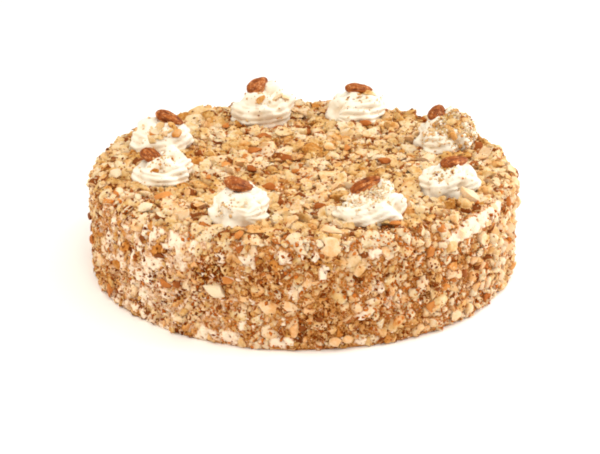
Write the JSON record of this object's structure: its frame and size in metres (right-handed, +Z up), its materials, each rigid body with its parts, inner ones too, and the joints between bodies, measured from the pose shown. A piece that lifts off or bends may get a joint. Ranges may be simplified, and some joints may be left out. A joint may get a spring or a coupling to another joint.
{
  "type": "almond torte",
  "caption": "Round uncut torte coated with cream and chopped almonds, ringed on top by piped cream rosettes that each carry a whole almond.",
  "frame": {"origin": "middle of the flat underside", "axes": "+Z up through the cake's axis, -Y towards the pictured front, +X to its right"},
  "size_m": [0.2606, 0.2616, 0.0908],
  "materials": {
    "cream": "soft whipped cream, piped and spread",
    "chopped_almonds": "chopped toasted almonds with bits of brown skin",
    "almond_skin": "wrinkled brown almond skin"
  },
  "bodies": {
    "root": {"cake": "chopped_almonds", "rosette_1": "cream", "rosette_2": "cream", "rosette_3": "cream", "rosette_4": "cream", "rosette_5": "cream", "rosette_6": "cream", "rosette_7": "cream", "rosette_8": "cream", "almond_1": "almond_skin", "almond_2": "almond_skin", "almond_3": "almond_skin", "almond_4": "almond_skin", "almond_5": "almond_skin", "almond_6": "almond_skin", "almond_7": "almond_skin", "almond_8": "almond_skin"}
  },
  "joints": []
}
